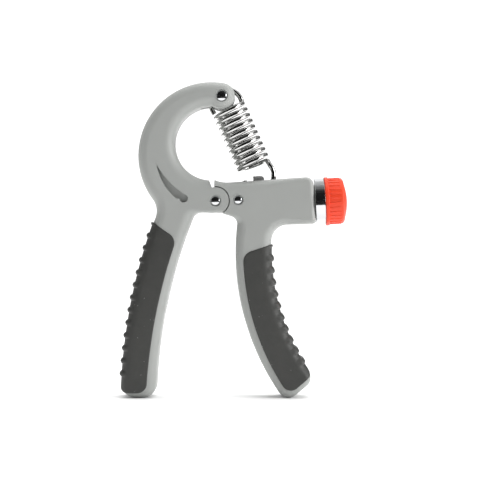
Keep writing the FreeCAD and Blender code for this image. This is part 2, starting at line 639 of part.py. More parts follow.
def spring_coils():
    """The coiled body, wound about a line beside the pull line; both ends stop short of the side
    where the wire turns out of the coil."""
    wound = 2 * math.pi * TURNS - 2 * COIL_LEAD
    helix = Part.Wire(Part.makeHelix(PITCH, PITCH * wound / (2 * math.pi), COIL_R).Edges)
    profile = Part.Wire(Part.makeCircle(WIRE_R, V(COIL_R, 0, 0), Y))
    coil = helix.makePipeShell([profile], True, True)
    coil.rotate(V(0, 0, 0), V(0, 0, 1), math.degrees(COIL_LEAD))
    coil.translate(V(0, 0, PITCH * COIL_LEAD / (2 * math.pi)))
    along, across = pull_frame()
    frame = FreeCAD.Placement(on_pull(COIL_FROM, COIL_SIDE), FreeCAD.Rotation(across, -Y, along, "ZXY"))
    coil.Placement = frame.multiply(coil.Placement)
    return coil


def spring_end(which, centre, start, stop):
    """An end of the spring: a short link from the coils and a bend in the middle plane."""
    spot, heading = coil_end(which)
    a = math.radians(start)
    bend = on_pull(centre[0] - COIL_R * math.sin(a), centre[1] + COIL_R * math.cos(a))
    link = wire_link(spot + heading * (WIRE_R + 0.05), bend)
    return link.fuse(wire_arc(centre, start, stop)).removeSplitter()


# ======== assembly ========
def build():
    """Every node's solid, drawn about the pivot."""
    nodes = {
        "housing_handle": housing_handle(),
        "housing_handle_grip": housing_handle_grip(),
        "arc_handle": arc_handle(),
        "arc_handle_grip": arc_handle_grip(),
        "pivot_rivet": rivet((0, 0), PIVOT_HEAD_R, SHANK_R),
        "pivot_rivet_cap": rivet_cap((0, 0), PIVOT_HEAD_R, SHANK_R),
        "pivot_bush": ring((0, 0), BUSH_OUT_R, BUSH_IN_R, -TONGUE_HALF, TONGUE_HALF),
        "pivot_washers": pivot_washers(),
        "anchor_rivet": rivet(ANCHOR, ANCHOR_HEAD_R, SHANK_R),
        "anchor_rivet_cap": rivet_cap(ANCHOR, ANCHOR_HEAD_R, SHANK_R),
        "spring_rivet": rivet(SPRING_PIN, SPRING_HEAD_R, SPRING_SHANK_R),
        "spring_rivet_cap": rivet_cap(SPRING_PIN, SPRING_HEAD_R, SPRING_SHANK_R),
        "spring_loop": spring_end(0, LOOP_AT, LOOP_FROM, LOOP_TO),
        "spring_coils": spring_coils(),
        "spring_hook": spring_end(1, HOOK_AT, HOOK_FROM, HOOK_TO),
        "hook_pin": hook_pin(),
        "carriage_nut": carriage_nut(),
        "adjuster_channel": adjuster_channel(),
        "adjuster_screw": adjuster_screw(),
        "screw_inner_bush": screw_inner_bush(),
        "screw_outer_bush": adj_solid(rod(*OUTER_BUSH)),
        "screw_retaining_ring": adj_solid(rod(*RETAINING_RING, JOURNAL_R)),
        "thrust_washer": adj_solid(rod(*THRUST_WASHER)),
        "collar_ring": adj_solid(collar_ring()),
        "knob": knob_body(),
        "knob_end_cap": knob_end_cap(),
        "knob_screw": knob_screw(),
        "knob_washer": adj_solid(rod(*KNOB_WASHER)),
    }
    return nodes


def export():
    os.makedirs("parts", exist_ok=True)
    for name, shape in build().items():
        shape = shape.copy()
        shape.translate(V(PIVOT_X, 0, PIVOT_Z))
        shape.exportStep("parts/%s.step" % name)


if __name__ == "__main__":
    export()
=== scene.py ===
# %% [markdown]
# # A hand grip strengthener
# Two moulded handles turn on a rivet.  A coil spring pulls the arc-shaped handle towards a nut
# inside the other one, and a knob moves that nut along a screw to change the load.  The hard parts
# come in ready made, each in its own place.  This lesson gives them their finishes, and makes
# afresh what a modelling program for machines leaves plain: the wire of the spring, the soft ribbed
# grips, the ribbed knob and the screw's thread.

import json
import math
from collections import namedtuple
from functools import partial

import bmesh
import bpy
from mathutils import Matrix, Vector


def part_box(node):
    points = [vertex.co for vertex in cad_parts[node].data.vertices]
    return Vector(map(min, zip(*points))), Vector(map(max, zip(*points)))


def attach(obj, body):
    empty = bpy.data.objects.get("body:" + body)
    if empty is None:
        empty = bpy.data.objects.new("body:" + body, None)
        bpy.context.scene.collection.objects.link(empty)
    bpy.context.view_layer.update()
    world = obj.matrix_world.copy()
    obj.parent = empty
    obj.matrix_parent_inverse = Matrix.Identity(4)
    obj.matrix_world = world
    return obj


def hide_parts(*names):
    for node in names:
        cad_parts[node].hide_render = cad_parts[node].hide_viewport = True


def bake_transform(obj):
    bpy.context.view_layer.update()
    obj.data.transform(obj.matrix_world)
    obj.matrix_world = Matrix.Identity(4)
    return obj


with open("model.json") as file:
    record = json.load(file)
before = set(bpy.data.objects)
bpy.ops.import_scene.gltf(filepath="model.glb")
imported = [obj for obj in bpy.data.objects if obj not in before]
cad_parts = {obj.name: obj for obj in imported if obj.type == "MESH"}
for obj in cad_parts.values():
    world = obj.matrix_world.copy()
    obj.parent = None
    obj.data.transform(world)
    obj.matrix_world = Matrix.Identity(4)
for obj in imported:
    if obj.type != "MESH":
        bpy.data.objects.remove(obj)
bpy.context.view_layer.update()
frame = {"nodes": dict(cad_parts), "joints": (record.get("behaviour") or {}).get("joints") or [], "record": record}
nodes = frame["nodes"]
MM = 0.001
show = bpy.context.scene.collection.objects.link

# %% [markdown]
# Everything is measured from a few places that the ready-made parts give: the pivot between the
# handles, the pin that the spring hooks over, the rivet that holds the spring's upper loop, and the
# direction of the screw.  The joints state three of them, and the rivet's own box gives the fourth.

# %% Find the turning points and the screw's direction
joints = {joint["name"]: joint for joint in frame["joints"]}
PIVOT = Vector(joints["handle_squeeze"]["pos_m"])
HOOK_PIN = Vector(joints["hook_pin_tilt"]["pos_m"])
low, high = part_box("spring_rivet")
SPRING_RIVET = Vector(((low.x + high.x) / 2, 0, (low.z + high.z) / 2))
SCREW_DIRECTION = Vector(joints["carriage_slide"]["axis"]).normalized()
print("pivot", PIVOT, "pull length in mm", round((HOOK_PIN - SPRING_RIVET).length / MM, 2))

# %% [markdown]
# The camera comes first, so that every later choice can be judged through it.  It stands level with
# the middle of the object and looks straight at the front.  A long lens far away keeps both handles
# in true proportion, where a short lens close by would swell the nearer one.

# %% Place the camera
VIEW_WIDTH, VIEW_DISTANCE = 0.2256, 0.75
AIM_X, AIM_Z = 0.00295, 0.0745
FRONT_PLANE = -0.011
SENSOR = 36.0

lens = bpy.data.cameras.new("studio_camera")
lens.sensor_width = SENSOR
lens.lens = SENSOR * VIEW_DISTANCE / VIEW_WIDTH
lens.clip_start, lens.clip_end = 0.05, 20.0
camera = bpy.data.objects.new("studio_camera", lens)
camera.location = (AIM_X, FRONT_PLANE - VIEW_DISTANCE, AIM_Z)
camera.rotation_euler = (math.radians(90), 0, 0)
show(camera)
bpy.context.scene.camera = camera
print("focal length", round(lens.lens, 1), "mm")

# %% [markdown]
# A node tree is built one node at a time.  One small helper makes a node, sets its choices and
# fills its inputs: a plain value is typed into the socket, and another node's output is linked to it.
# The same helper serves the finishes and the Geometry Nodes trees.


# %% A helper for node trees
def put(tree, kind, choices=None, **inputs):
    """Adds a node.  Inputs go by socket name with _ for a space, or by in0, in1 and so on."""
    node = tree.nodes.new(kind)
    for name, value in (choices or {}).items():
        setattr(node, name, value)
    for name, value in inputs.items():
        by_place = name[:2] == "in" and name[2:].isdigit()
        socket = node.inputs[int(name[2:])] if by_place else node.inputs[name.replace("_", " ")]
        if isinstance(value, bpy.types.NodeSocket):
            tree.links.new(value, socket)
        else:
            socket.default_value = value
    return node


def made(tree, kind, choices=None, **inputs):
    """Adds a node and returns its first output."""
    return put(tree, kind, choices, **inputs).outputs[0]


def sum_up(tree, operation, *values):
    """One Math node; returns its output."""
    inputs = {"in%d" % place: value for place, value in enumerate(values)}
    return made(tree, "ShaderNodeMath", {"operation": operation}, **inputs)


# %% [markdown]
# A finish starts from a shader whose whole-surface values are typed in, and then gets its detail
# from noise.  The noise reads Object coordinates, so its grain has a real size in metres and stays
# put when a part moves.  Most finishes want the same three things: patches of a deeper colour, patches
# of gloss, and a fine relief.  `finish` adds those when it is told their sizes.


# %% Helpers for finishes
def grain(tree, place, size, detail, rough=0.5):
    """Noise whose lumps are about size millimetres across."""
    return made(tree, "ShaderNodeTexNoise", Vector=place, Scale=1 / (size * MM), Detail=detail,
                Roughness=rough)


def between(tree, value, low, high):
    """Spreads a noise value between two levels."""
    return made(tree, "ShaderNodeMapRange", Value=value, in1=0.3, in2=0.7, in3=low, in4=high)


def blend_colours(tree, amount, first, second):
    mix = put(tree, "ShaderNodeMix", {"data_type": "RGBA"}, in0=amount)
    mix.inputs[6].default_value = (*first, 1)
    mix.inputs[7].default_value = (*second, 1)
    return mix.outputs[2]


def relief(tree, shader, height, depth, strength):
    """Bump of depth millimetres."""
    bump = made(tree, "ShaderNodeBump", Height=height, Distance=depth * MM, Strength=strength)
    tree.links.new(bump, shader.inputs["Normal"])


def finish(name, colour, roughness, metallic=0.0, patches=None, gloss=None, bumps=None, **sockets):
    """Each of the three starts with its lumps' size in mm and their detail.  Then patches give their
    colour, gloss its lowest and highest roughness, and bumps their depth in mm and strength."""
    material = bpy.data.materials.new(name)
    material.use_nodes = True
    tree = material.node_tree
    shader = tree.nodes["Principled BSDF"]
    shader.inputs["Base Color"].default_value = (*colour, 1)
    shader.inputs["Roughness"].default_value = roughness
    shader.inputs["Metallic"].default_value = metallic
    for socket, value in sockets.items():
        shader.inputs[socket.replace("_", " ")].default_value = value
    place = put(tree, "ShaderNodeTexCoord").outputs["Object"]
    if patches:
        shade = blend_colours(tree, grain(tree, place, *patches[:2]), colour, patches[2])
        tree.links.new(shade, shader.inputs["Base Color"])
    if gloss:
        rough = between(tree, grain(tree, place, *gloss[:2]), *gloss[2:])
        tree.links.new(rough, shader.inputs["Roughness"])
    if bumps:
        relief(tree, shader, grain(tree, place, *bumps[:2]), *bumps[2:])
    return material, tree, shader, place


# %% [markdown]
# The handles are satin grey plastic, moulded against a lightly spark-eroded mould.  That leaves a
# very fine orange-peel texture and patches that are a touch glossier than their surroundings.  The
# colour itself wanders by a percent or two where the melt flowed.

# %% The moulded grey plastic
SATIN_GREY = (0.350, 0.360, 0.347)
SATIN_GREY_DEEP = (0.328, 0.338, 0.326)

moulding = finish("satin_grey_moulding", SATIN_GREY, 0.42, patches=(14.0, 2.0, SATIN_GREY_DEEP),
                  gloss=(3.0, 4.0, 0.38, 0.47), bumps=(0.35, 3.0, 0.012, 0.6))[0]

# %% [markdown]
# The grips are soft rubber, almost black.  Rubber scatters what little it reflects, so it is rough,
# with a fine grain that can just be felt.  Pale specks of filler lie in the surface: a Voronoi
# texture drops one dot in each cell, and only the cells with a high random value keep theirs.

# %% The grip rubber
RUBBER_BLACK = (0.034, 0.035, 0.033)
RUBBER_WORN = (0.050, 0.050, 0.046)
SPECK = (0.42, 0.42, 0.40)
SPECK_CELL, SPECK_RADIUS, SPECK_SHARE = 1.5, 0.09, 0.10

rubber, tree, shader, place = finish("grip_rubber", RUBBER_BLACK, 0.50, gloss=(1.2, 3.0, 0.44, 0.58),
                                     Specular_IOR_Level=0.50)
cells = put(tree, "ShaderNodeTexVoronoi", Vector=place, Scale=1 / (SPECK_CELL * MM))
parts = put(tree, "ShaderNodeSeparateColor", in0=cells.outputs["Color"])
dot = sum_up(tree, "LESS_THAN", cells.outputs["Distance"], SPECK_RADIUS)
chosen = sum_up(tree, "GREATER_THAN", parts.outputs[0], 1 - SPECK_SHARE)
speck = sum_up(tree, "MULTIPLY", dot, chosen)
body = blend_colours(tree, grain(tree, place, 6.0, 4.0), RUBBER_BLACK, RUBBER_WORN)
mix = put(tree, "ShaderNodeMix", {"data_type": "RGBA"}, in0=speck, in6=body)
mix.inputs[7].default_value = (*SPECK, 1)
tree.links.new(mix.outputs[2], shader.inputs["Base Color"])
relief(tree, shader, grain(tree, place, 0.22, 3.0, 0.6), 0.03, 0.7)

# %% [markdown]
# The knob is orange-red plastic, a little glossier than the handles and slightly see-through at its
# thin edges, so its shadows stay warm.

# %% The knob's plastic
ORANGE_RED = (0.80, 0.062, 0.020)
ORANGE_RED_DEEP = (0.70, 0.046, 0.016)

knob_plastic = finish("orange_red_plastic", ORANGE_RED, 0.42, patches=(5.0, 3.0, ORANGE_RED_DEEP),
                      gloss=(1.5, 3.0, 0.38, 0.47), bumps=(0.5, 2.0, 0.006, 0.4),
                      Specular_IOR_Level=0.36)[0]

# %% [markdown]
# There are several metals, and all are fully metallic: their colour is the colour of their
# reflection.  Chrome is a mirror with a faint haze of polishing marks.  Zinc-plated steel is duller
# and a bit patchy, and the cast nut is blasted with grit, which makes it a soft even grey.

# %% Chrome, zinc-plated steel and blasted zinc
CHROME_GREY, BLASTED_GREY = (0.64, 0.65, 0.66), (0.74, 0.74, 0.73)
ZINC_GREY, ZINC_BLUE = (0.60, 0.60, 0.59), (0.52, 0.54, 0.57)

chrome = finish("polished_chrome", CHROME_GREY, 0.06, 1.0, gloss=(2.5, 4.0, 0.045, 0.10),
                bumps=(1.4, 2.0, 0.003, 0.4))[0]
zinc = finish("zinc_plated_steel", ZINC_GREY, 0.30, 1.0, patches=(3.0, 4.0, ZINC_BLUE),
              gloss=(0.8, 3.0, 0.24, 0.38), bumps=(0.3, 3.0, 0.006, 0.5))[0]
blasted = finish("blasted_zinc_casting", BLASTED_GREY, 0.50, 1.0, gloss=(0.7, 3.0, 0.44, 0.58),
                 bumps=(0.25, 3.0, 0.012, 0.6))[0]

# %% [markdown]
# The spring's wire is plated over drawn steel, so its haze runs along the wire.  Noise on plain
# coordinates would cross it.  The finish reads two values that the wire's own mesh carries instead:
# how far along the wire a point lies, and how far round it.

# %% The plated wire
WIRE_GREY = (0.62, 0.62, 0.61)
LINES_ALONG, LINES_ROUND = 60.0, 24.0

wire_metal, tree, shader, place = finish("plated_spring_wire", WIRE_GREY, 0.09, 1.0)
run = put(tree, "ShaderNodeAttribute", {"attribute_name": "along_wire"}).outputs["Fac"]
turn = put(tree, "ShaderNodeAttribute", {"attribute_name": "round_wire"}).outputs["Fac"]
drawn = made(tree, "ShaderNodeCombineXYZ", X=sum_up(tree, "MULTIPLY", run, LINES_ALONG),
             Y=sum_up(tree, "MULTIPLY", turn, LINES_ROUND))
lines = made(tree, "ShaderNodeTexNoise", Vector=drawn, Scale=1.0, Detail=3.0)
tree.links.new(between(tree, lines, 0.05, 0.11), shader.inputs["Roughness"])
relief(tree, shader, lines, 0.0025, 0.3)

# %% [markdown]
# Washers and bushes are natural nylon: off-white, waxy and a little translucent.

# %% Nylon
NYLON_WHITE = (0.76, 0.75, 0.70)
nylon = finish("natural_nylon", NYLON_WHITE, 0.45, gloss=(2.0, 3.0, 0.40, 0.52),
               bumps=(0.5, 2.0, 0.01, 0.4))[0]

# %% [markdown]
# Each ready-made part names the finish it takes, and one loop hands them out.  Its mesh stays as it
# is: only the material slot changes.

# %% Give the ready-made parts their finishes
FINISHES = {"moulding": moulding, "grip_rubber": rubber, "knob_plastic": knob_plastic, "chrome": chrome,
            "spring_wire": wire_metal, "steel": zinc, "nylon": nylon}
wanted = {row["node"]: row["material_slot"] for row in frame["record"]["subparts"]}
for name, part in nodes.items():
    part.data.materials.clear()
    part.data.materials.append(FINISHES[wanted[name]])
nodes["carriage_nut"].data.materials[0] = blasted
print("finished parts:", len(wanted))

# %% [markdown]
# The studio is a white tent: a white sky all round and a wide white floor, so plastics get soft light
# from everywhere.  Single lamps would be simpler, but they leave hard streaks on satin plastic.
# Polished metal needs something dark to reflect, or it looks like paper, so cloths hang round the
# object later on, out of the camera's sight.

# %% The white tent
SKY = 1.28
world = bpy.data.worlds.new("white_tent")
world.use_nodes = True
world.node_tree.nodes["Background"].inputs["Color"].default_value = (1, 1, 1, 1)
world.node_tree.nodes["Background"].inputs["Strength"].default_value = SKY
bpy.context.scene.world = world
bpy.context.scene.view_settings.view_transform = "Standard"


def stage_piece(name, verts, faces, materials, slots=None):
    """A part of the studio, which isn't part of the object.  slots gives each face's material."""
    mesh = bpy.data.meshes.new(name)
    mesh.from_pydata(verts, [], faces)
    for material in materials:
        mesh.materials.append(material)
    for face, number in zip(mesh.polygons, slots or [0] * len(faces)):
        face.material_index = number
    piece = bpy.data.objects.new(name, mesh)
    show(piece)
    return piece


# %% [markdown]
# The floor is matt white where the object stands, so that it takes the soft shadows of the tips.
# Further out the cloths would turn it grey, and that would show from behind.  There it gives its own
# white light instead, and the distance from the middle blends one into the other.

# %% The floor
CLOTH_ROUGHNESS = 0.9
FLOOR_SIDE, FLOOR_LEVEL = 6.0, 0.93
GLOW_FROM, GLOW_FULL, GLOW = 0.6, 1.1, 1.15

pale_floor, tree, matt_white, place = finish("pale_floor", (FLOOR_LEVEL,) * 3, CLOTH_ROUGHNESS)
distance = put(tree, "ShaderNodeVectorMath", {"operation": "LENGTH"}, in0=place).outputs["Value"]
share = made(tree, "ShaderNodeMapRange", Value=distance, From_Min=GLOW_FROM, From_Max=GLOW_FULL)
glow = made(tree, "ShaderNodeEmission", Strength=GLOW)
mixed = made(tree, "ShaderNodeMixShader", in0=share, in1=matt_white.outputs[0], in2=glow)
tree.links.new(mixed, tree.nodes["Material Output"].inputs["Surface"])
s = FLOOR_SIDE / 2
stage_piece("floor", [(-s, -s, 0), (s, -s, 0), (s, s, 0), (-s, s, 0)], [(0, 1, 2, 3)], [pale_floor])
print("the floor gives its own light beyond %.1f m" % GLOW_FULL)

# %% [markdown]
# Plastic and metal ask for different studios, so there are two sets of cloths.  One dark screen in
# front is seen by matt surfaces only: it keeps the faces that look at the camera a shade darker than
# the rounded rims.  The other cloths are seen only in polished metal: black velvet in front, paler
# cloths above it and overhead, and grey wings behind, which give each turn of the spring its outline.

# %% Cloths on a ball round the object
CLOTH_RADIUS, CLOTH_HEIGHT = 1.9, 0.075
ROUND_CLOTH_STEP = 4.0


def cloth(name, level):
    return finish(name, (level, level, level), CLOTH_ROUGHNESS)[0]


def seen_only_by(piece, surfaces):
    """Hides a cloth from everything but matt or polished surfaces."""
    piece.visible_camera = piece.visible_shadow = piece.visible_transmission = False
    piece.visible_diffuse = surfaces == "matt"
    piece.visible_glossy = surfaces == "polished"


def hung_cloth(name, bands, first, last, surfaces):
    """Bands of cloth from one azimuth to another.  bands are (elevation from, to, level)."""
    verts, faces, slots = [], [], []
    steps = round((last - first) / ROUND_CLOTH_STEP)
    for number, (low_edge, high_edge, level) in enumerate(bands):
        begin = len(verts)
        for step in range(steps + 1):
            azimuth = math.radians(first + (last - first) * step / steps)
            for edge in (low_edge, high_edge):
                up = math.radians(edge)
                verts.append((CLOTH_RADIUS * math.cos(up) * math.sin(azimuth),
                              -CLOTH_RADIUS * math.cos(up) * math.cos(azimuth),
                              CLOTH_RADIUS * math.sin(up) + CLOTH_HEIGHT))
        for step in range(steps):
            k = begin + 2 * step
            faces.append((k, k + 2, k + 3, k + 1))
            slots.append(number)
    cloths = [cloth("%s_%d" % (name, number), band[2]) for number, band in enumerate(bands)]
    seen_only_by(stage_piece(name, verts, faces, cloths, slots), surfaces)


# %% Hang the cloths
BELOW_FLOOR = -2.2                       # elevation that meets the velvet on the floor
hung_cloth("matt_screen", ((0.0, 60.0, 0.02),), -60.0, 46.0, "matt")
hung_cloth("velvet_front", ((BELOW_FLOOR, 42.0, 0.006), (42.0, 54.0, 0.03), (54.0, 65.0, 0.08),
                            (65.0, 76.0, 0.16)), -108.0, 64.0, "polished")
hung_cloth("cloth_overhead", ((76.0, 86.0, 0.26), (86.0, 96.0, 0.38), (96.0, 108.0, 0.50),
                              (108.0, 120.0, 0.64)), -70.0, 64.0, "polished")
hung_cloth("left_wing", ((BELOW_FLOOR, 30.0, 0.16), (30.0, 55.0, 0.30)), -165.0, -112.0, "polished")
hung_cloth("right_wing", ((BELOW_FLOOR, 30.0, 0.10), (30.0, 55.0, 0.22)), 92.0, 165.0, "polished")

# %% [markdown]
# The black band in a real collar reaches a little below its middle.  Something dark therefore lies on
# the table in front of it too: a fan of velvet that only metal sees.

# %% The velvet on the floor
VELVET_NEAR, VELVET_FAR, VELVET_LIFT = 0.30, 1.88, 0.002
FAN_FIRST, FAN_STEP, FAN_SPOKES = -108.0, 6.0, 28
verts, faces = [], []
for spoke in range(FAN_SPOKES):
    a = math.radians(FAN_FIRST + FAN_STEP * spoke)
    for reach in (VELVET_NEAR, VELVET_FAR):
        verts.append((reach * math.sin(a), -reach * math.cos(a), VELVET_LIFT))
for spoke in range(FAN_SPOKES - 1):
    faces.append((2 * spoke, 2 * spoke + 1, 2 * spoke + 3, 2 * spoke + 2))
seen_only_by(stage_piece("velvet_on_floor", verts, faces, [cloth("floor_velvet", 0.006)]), "polished")
print("velvet reaches from %.2f to %.2f m" % (VELVET_NEAR, VELVET_FAR))

# %% [markdown]
# One soft lamp stands to the right and a larger one hangs overhead.  The first puts the long white
# streak down the right side of the spring, and the second lifts the rims that look up.  The overhead
# lamp isn't seen in polished metal, where the grey cloths stand for it.

# %% Soft lamps
MIDDLE = (0.0, 0.0, 0.08)


def soft_lamp(name, place, side, power):
    """A square lamp that looks at the middle of the object; side in metres, power in watts."""
    light = bpy.data.lights.new(name, "AREA")
    light.shape, light.size, light.energy = "SQUARE", side, power
    lamp = bpy.data.objects.new(name, light)
    lamp.location = place
    lamp.rotation_euler = (Vector(MIDDLE) - Vector(place)).to_track_quat("-Z", "Y").to_euler()
    lamp.visible_camera = False
    show(lamp)
    return lamp


soft_lamp("right_softbox", (1.5, -0.7, 0.55), side=0.9, power=14.0)
soft_lamp("overhead_softbox", (0.1, 0.3, 1.7), side=1.4, power=25.0).visible_glossy = False
print("lamps:", [light.name for light in bpy.data.lights])

# %% [markdown]
# Now the spring.  It is one piece of wire: a hook over the pin, ten close turns, and a loop round the
# rivet.  Its line is written as a rule rather than drawn.  The turns are a helix about a line just
# beside the line of pull, the two ends are arcs in the middle plane, and a short smooth bend leads
# from each into the coil.  When the handles are squeezed, the hook stays on its pin and the turns
# open.  The wire is made as two lengths that meet end to end inside the coil, and both stay put.

# %% The spring's centre line
ALONG = (HOOK_PIN - SPRING_RIVET).normalized()
ACROSS = ALONG.cross(Vector((0, 1, 0)))
WIRE_RADIUS, COIL_RADIUS = 1.2, 7.3
TURNS, PITCH = 10, 2.96
COIL_START, COIL_BESIDE = 6.75, 0.7
LOOP_CENTRE, LOOP_FROM, LOOP_TO = (4.2, 0.7), -6.0, 194.0
HOOK_CENTRE, HOOK_FROM, HOOK_TO = (41.15, 0.8), 16.0, -184.0
BEND_TURN = 0.42
STEPS_PER_TURN, DEGREES_PER_STEP = 56, 6


def on_pull(t, n, y=0.0):
    """t millimetres down the line of pull from the rivet, n across it, y to the back."""
    return SPRING_RIVET + (ALONG * t + ACROSS * n + Vector((0, y, 0))) * MM


def coil_line(angle):
    """A point on the helix and the way the wire runs there."""
    t = COIL_START + PITCH * angle / (2 * math.pi)
    spot = on_pull(t, COIL_BESIDE + COIL_RADIUS * math.cos(angle), -COIL_RADIUS * math.sin(angle))
    run = (ACROSS * -math.sin(angle) - Vector((0, 1, 0)) * math.cos(angle)) * COIL_RADIUS
    return spot, (run + ALONG * PITCH / (2 * math.pi)).normalized()


def end_line(centre, degrees, turning):
    """A point on an end bend in the middle plane, and the way the wire runs there."""
    a = math.radians(degrees)
    spot = on_pull(centre[0] - COIL_RADIUS * math.sin(a), centre[1] + COIL_RADIUS * math.cos(a))
    return spot, (ACROSS * -math.sin(a) - ALONG * math.cos(a)) * turning


def smooth_bend(start, end, steps=14, pull=1.15):
    """A bend between two (point, direction) pairs; the ends themselves are left out."""
    (p, p_run), (q, q_run) = start, end
    reach = (q - p).length * pull
    points = []
    for k in range(1, steps):
        u = k / steps
        points.append(p * (1 + 2 * u) * (1 - u) ** 2 + q * (3 - 2 * u) * u * u
                      + p_run * reach * u * (1 - u) ** 2 - q_run * reach * u * u * (1 - u))
    return points


def turns_between(first, last):
    steps = round((last - first) / (2 * math.pi) * STEPS_PER_TURN)
    return [coil_line(first + (last - first) * k / steps)[0] for k in range(steps + 1)]


def end_bend(centre, first, last):
    steps = round(abs(last - first) / DEGREES_PER_STEP)
    turning = 1 if last > first else -1
    return [end_line(centre, first + (last - first) * k / steps, turning) for k in range(steps + 1)]


SPLIT = 3 * 2 * math.pi                  # the two lengths meet after three turns
coil_top, coil_bottom = BEND_TURN, TURNS * 2 * math.pi - BEND_TURN
loop = end_bend(LOOP_CENTRE, LOOP_FROM, LOOP_TO)
hook = end_bend(HOOK_CENTRE, HOOK_FROM, HOOK_TO)
top_spot, top_run = coil_line(coil_top)
upper_line = ([spot for spot, run in reversed(loop)]
              + smooth_bend((loop[0][0], -loop[0][1]), (top_spot, top_run))
              + turns_between(coil_top, SPLIT))
lower_line = (turns_between(SPLIT, coil_bottom) + smooth_bend(coil_line(coil_bottom), hook[0])
              + [spot for spot, run in hook])
print("wire length in mm:", [round(sum((b - a).length for a, b in zip(w, w[1:])) / MM)
                             for w in (upper_line, lower_line)])

# %% [markdown]
# The wire itself is a job for Geometry Nodes: a circle is carried along the line, the ends are
# closed, and the line's length and the place round the circle are stored, for the finish to read.
# `grow` runs a tree on an object, keeps the result as a plain mesh and takes the modifier away.
# An input is set by its socket's identifier, which stays the same whatever its label says.

# %% Helpers for Geometry Nodes
def new_tree(name, **inputs):
    """A tree with geometry in and out and a material, and further inputs by name and kind."""
    tree = bpy.data.node_groups.new(name, "GeometryNodeTree")
    tree.interface.new_socket("Geometry", in_out="OUTPUT", socket_type="NodeSocketGeometry")
    for label, kind in {"Geometry": "Geometry", **inputs, "Material": "Material"}.items():
        tree.interface.new_socket(label.replace("_", " "), in_out="INPUT",
                                  socket_type="NodeSocket" + kind)
    return tree, put(tree, "NodeGroupInput").outputs


def end_tree(tree, geometry, material):
    """Closes a tree with Realize Instances and Set Material."""
    real = made(tree, "GeometryNodeRealizeInstances", Geometry=geometry)
    smooth = made(tree, "GeometryNodeSetShadeSmooth", Geometry=real)
    done = made(tree, "GeometryNodeSetMaterial", Geometry=smooth, Material=material)
    out = put(tree, "NodeGroupOutput")
    tree.links.new(done, out.inputs[0])


def grow(name, source, tree, **values):
    """Runs a tree on an object's data and returns a new plain mesh object."""
    carrier = bpy.data.objects.new(name + "_carrier", source)
    show(carrier)
    modifier = carrier.modifiers.new("tree", "NODES")
    modifier.node_group = tree
    for item in tree.interface.items_tree:
        key = item.name.replace(" ", "_")
        if item.in_out == "INPUT" and key in values:
            modifier[item.identifier] = values[key]
    bpy.context.view_layer.update()
    graph = bpy.context.evaluated_depsgraph_get()
    mesh = bpy.data.meshes.new_from_object(carrier.evaluated_get(graph), depsgraph=graph)
    bpy.data.objects.remove(carrier)
    mesh.name = name
    piece = bpy.data.objects.new(name, mesh)
    show(piece)
    print(name, "faces:", len(mesh.polygons))
    return piece


def line_curve(name, points, closed=False):
    curve = bpy.data.curves.new(name, "CURVE")
    curve.dimensions = "3D"
    spline = curve.splines.new("POLY")
    spline.points.add(len(points) - 1)
    spline.points.foreach_set("co", [value for p in points for value in (*p, 1)])
    spline.use_cyclic_u = closed
    return curve


# %% [markdown]
# The tree for the wire stores the length run so far on the line, carries a ring of the wire's radius
# along it and closes the ends.  Curve bevel would give the same tube, but not the two stored values
# that let the polishing marks follow the wire.

# %% The wire tree
wire_tree, given = new_tree("wire_along_a_line", Wire_Radius="Float", Sides="Int")
calc = partial(sum_up, wire_tree)
run = put(wire_tree, "GeometryNodeSplineParameter").outputs["Length"]
line = made(wire_tree, "GeometryNodeStoreNamedAttribute", Geometry=given["Geometry"], Name="along_wire",
            Value=calc("MULTIPLY", run, 100.0))
ring = made(wire_tree, "GeometryNodeCurvePrimitiveCircle", Resolution=given["Sides"],
            Radius=given["Wire Radius"])
turn = put(wire_tree, "GeometryNodeSplineParameter").outputs["Factor"]
wave = calc("SINE", calc("MULTIPLY", turn, 2 * math.pi))
ring = made(wire_tree, "GeometryNodeStoreNamedAttribute", Geometry=ring, Name="round_wire",
            Value=wave)
swept = made(wire_tree, "GeometryNodeCurveToMesh", Curve=line, in1=ring, Fill_Caps=True)
end_tree(wire_tree, swept, given["Material"])
print("wire tree nodes:", len(wire_tree.nodes))

# %% [markdown]
# The two lengths of wire cross the spring's two sliding joints.  Each is grown from its line and
# its placing is baked into its mesh.  Neither is attached to a body, so the turns stay as they are
# when the joints move.

# %% The two lengths of spring wire
WIRE_SIDES = 24
wire_size = {"Wire_Radius": WIRE_RADIUS * MM, "Sides": WIRE_SIDES, "Material": wire_metal}
upper_wire = grow("spring_upper_wire", line_curve("upper_line", upper_line), wire_tree, **wire_size)
lower_wire = grow("spring_lower_wire", line_curve("lower_line", lower_line), wire_tree, **wire_size)
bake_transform(upper_wire)
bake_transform(lower_wire)
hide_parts("spring_loop")
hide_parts("spring_hook", "spring_coils")

# %% [markdown]
# The grips are sleeves of soft rubber, moulded round the outer face of each blade and a little
# prouder than the plastic.  One could cut them from a block with Booleans, but the surface would come
# out in long uneven triangles that can't carry fine ribs.  So the rubber is laid out as a regular
# grid instead.  Across, a row starts at the edge on the front, runs over the rounded rim and the
# outer face, and ends at the edge on the back.  Along, the rows follow the arc of the blade.

# %% Plane geometry for the grips


def flat(x, z):
    return Vector((x, z))


def crossing(start, end, centre, radius, near):
    """Where a straight line crosses a circle, taking the crossing nearer to a given spot."""
    along = (end - start).normalized()
    middle = (centre - start).dot(along)
    reach = math.sqrt(radius ** 2 - (centre - start - along * middle).length_squared)
    return min((start + along * (middle + sign * reach) for sign in (-1, 1)),
               key=lambda spot: (spot - near).length)


def line_gap(start, end, spot):
    """Distance of a spot from a straight line; positive on the line's left."""
    along = (end - start).normalized()
    return along.x * (spot.y - start.y) - along.y * (spot.x - start.x)


